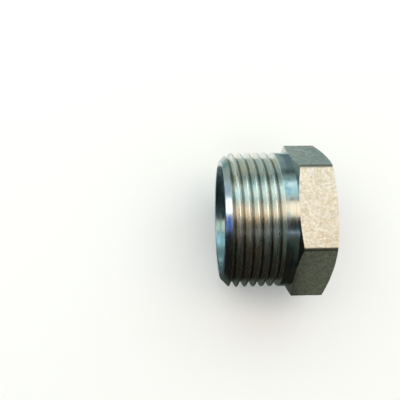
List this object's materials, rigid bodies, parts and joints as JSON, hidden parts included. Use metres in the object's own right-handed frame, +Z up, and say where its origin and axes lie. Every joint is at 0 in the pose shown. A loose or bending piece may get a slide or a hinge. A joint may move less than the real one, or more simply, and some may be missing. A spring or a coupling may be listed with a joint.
{
  "type": "pressure gauge adapter",
  "caption": "Zinc-plated steel pressure gauge adapter: hexagon with an O-ring sealed gauge port, and a threaded neck with a cone-mouthed tube socket.",
  "frame": {"origin": "under the middle of the part, in the plane that it rests on", "axes": "+X along the part's axis and out of the gauge port, +Z up, normal to the top flat of the hexagon"},
  "size_m": [0.0186, 0.0276, 0.024],
  "materials": {
    "zinc_steel": "turned steel with bright zinc plating",
    "black_rubber": "moulded nitrile rubber"
  },
  "bodies": {
    "root": {"adapter_body": "zinc_steel", "gauge_seal_ring": "black_rubber"}
  },
  "joints": []
}
